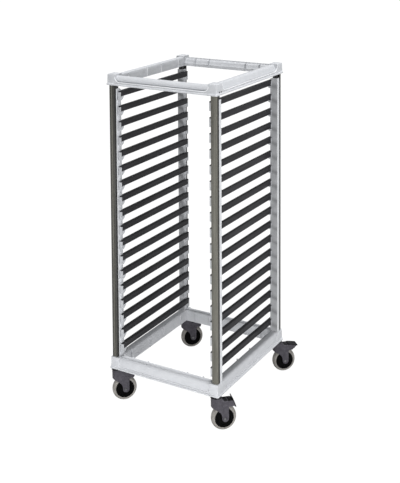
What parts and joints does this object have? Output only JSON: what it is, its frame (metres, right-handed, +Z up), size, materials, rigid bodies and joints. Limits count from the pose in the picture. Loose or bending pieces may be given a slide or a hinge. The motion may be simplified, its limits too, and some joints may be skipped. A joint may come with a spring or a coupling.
{
  "type": "sheet pan rack",
  "caption": "Open mobile rack for full-size sheet pans: moulded grey top and bottom frames, corner posts with bumper strips, dark side rails, swivel casters.",
  "frame": {"origin": "on the floor, under the middle of the two frames", "axes": "+X right seen from the front, +Y to the back, +Z up"},
  "size_m": [0.6979, 0.7979, 1.684],
  "materials": {
    "grey_moulding": "fine dark speckle, light orange-peel texture",
    "black_core": "plain",
    "bumper": "satin",
    "black_rail": "satin",
    "fork_plastic": "satin",
    "caster_steel": "satin",
    "dark_screw": "satin",
    "tyre": "matt",
    "pedal": "satin"
  },
  "bodies": {
    "rack": {"top_frame": "grey_moulding", "bottom_frame": "grey_moulding", "frame_screws": "dark_screw", "post_core_front_left": "black_core", "post_sleeve_front_left": "grey_moulding", "bumper_strip_front_left": "bumper", "rail_bracket_front_left": "grey_moulding", "post_core_front_right": "black_core", "post_sleeve_front_right": "grey_moulding", "bumper_strip_front_right": "bumper", "rail_bracket_front_right": "grey_moulding", "post_core_rear_left": "black_core", "post_sleeve_rear_left": "grey_moulding", "bumper_strip_rear_left": "bumper", "rail_bracket_rear_left": "grey_moulding", "post_core_rear_right": "black_core", "post_sleeve_rear_right": "grey_moulding", "bumper_strip_rear_right": "bumper", "rail_bracket_rear_right": "grey_moulding", "rail_pair_01": "black_rail", "rail_pair_02": "black_rail", "rail_pair_03": "black_rail", "rail_pair_04": "black_rail", "rail_pair_05": "black_rail", "rail_pair_06": "black_rail", "rail_pair_07": "black_rail", "rail_pair_08": "black_rail", "rail_pair_09": "black_rail", "rail_pair_10": "black_rail", "rail_pair_11": "black_rail", "rail_pair_12": "black_rail", "rail_pair_13": "black_rail", "rail_pair_14": "black_rail", "rail_pair_15": "black_rail", "rail_pair_16": "black_rail", "rail_pair_17": "black_rail", "rail_pair_18": "black_rail", "caster_stem_front_left": "caster_steel", "caster_stem_front_right": "caster_steel", "caster_stem_rear_left": "caster_steel", "caster_stem_rear_right": "caster_steel"},
    "swivel_front_left": {"caster_fork_front_left": "fork_plastic", "caster_axle_front_left": "caster_steel"},
    "wheel_front_left": {"caster_hub_front_left": "black_core", "caster_tyre_front_left": "tyre"},
    "swivel_front_right": {"caster_fork_front_right": "fork_plastic", "caster_axle_front_right": "caster_steel"},
    "wheel_front_right": {"caster_hub_front_right": "black_core", "caster_tyre_front_right": "tyre"},
    "pedal_front_right": {"brake_pedal_front_right": "pedal"},
    "swivel_rear_left": {"caster_fork_rear_left": "fork_plastic", "caster_axle_rear_left": "caster_steel"},
    "wheel_rear_left": {"caster_hub_rear_left": "black_core", "caster_tyre_rear_left": "tyre"},
    "swivel_rear_right": {"caster_fork_rear_right": "fork_plastic", "caster_axle_rear_right": "caster_steel"},
    "wheel_rear_right": {"caster_hub_rear_right": "black_core", "caster_tyre_rear_right": "tyre"},
    "pedal_rear_right": {"brake_pedal_rear_right": "pedal"}
  },
  "joints": [
    {"name": "swivel_front_left", "type": "hinge", "parent": "rack", "child": "swivel_front_left", "pos_m": [-0.288, -0.338, 0.15], "axis": [0, 0, 1], "continuous": true},
    {"name": "wheel_spin_front_left", "type": "hinge", "parent": "swivel_front_left", "child": "wheel_front_left", "pos_m": [-0.26113, -0.31113, 0.0625], "axis": [0.7071, -0.7071, 0], "continuous": true},
    {"name": "swivel_front_right", "type": "hinge", "parent": "rack", "child": "swivel_front_right", "pos_m": [0.288, -0.338, 0.15], "axis": [0, 0, 1], "continuous": true},
    {"name": "wheel_spin_front_right", "type": "hinge", "parent": "swivel_front_right", "child": "wheel_front_right", "pos_m": [0.31487, -0.31113, 0.0625], "axis": [0.7071, -0.7071, 0], "continuous": true},
    {"name": "brake_pedal_front_right", "type": "hinge", "parent": "swivel_front_right", "child": "pedal_front_right", "pos_m": [0.34386, -0.28214, 0.14], "axis": [0.7071, -0.7071, 0], "range_deg": [0, 60]},
    {"name": "swivel_rear_left", "type": "hinge", "parent": "rack", "child": "swivel_rear_left", "pos_m": [-0.288, 0.338, 0.15], "axis": [0, 0, 1], "continuous": true},
    {"name": "wheel_spin_rear_left", "type": "hinge", "parent": "swivel_rear_left", "child": "wheel_rear_left", "pos_m": [-0.26113, 0.36487, 0.0625], "axis": [0.7071, -0.7071, 0], "continuous": true},
    {"name": "swivel_rear_right", "type": "hinge", "parent": "rack", "child": "swivel_rear_right", "pos_m": [0.288, 0.338, 0.15], "axis": [0, 0, 1], "continuous": true},
    {"name": "wheel_spin_rear_right", "type": "hinge", "parent": "swivel_rear_right", "child": "wheel_rear_right", "pos_m": [0.31487, 0.36487, 0.0625], "axis": [0.7071, -0.7071, 0], "continuous": true},
    {"name": "brake_pedal_rear_right", "type": "hinge", "parent": "swivel_rear_right", "child": "pedal_rear_right", "pos_m": [0.34386, 0.39386, 0.14], "axis": [0.7071, -0.7071, 0], "range_deg": [-60, 0]}
  ]
}
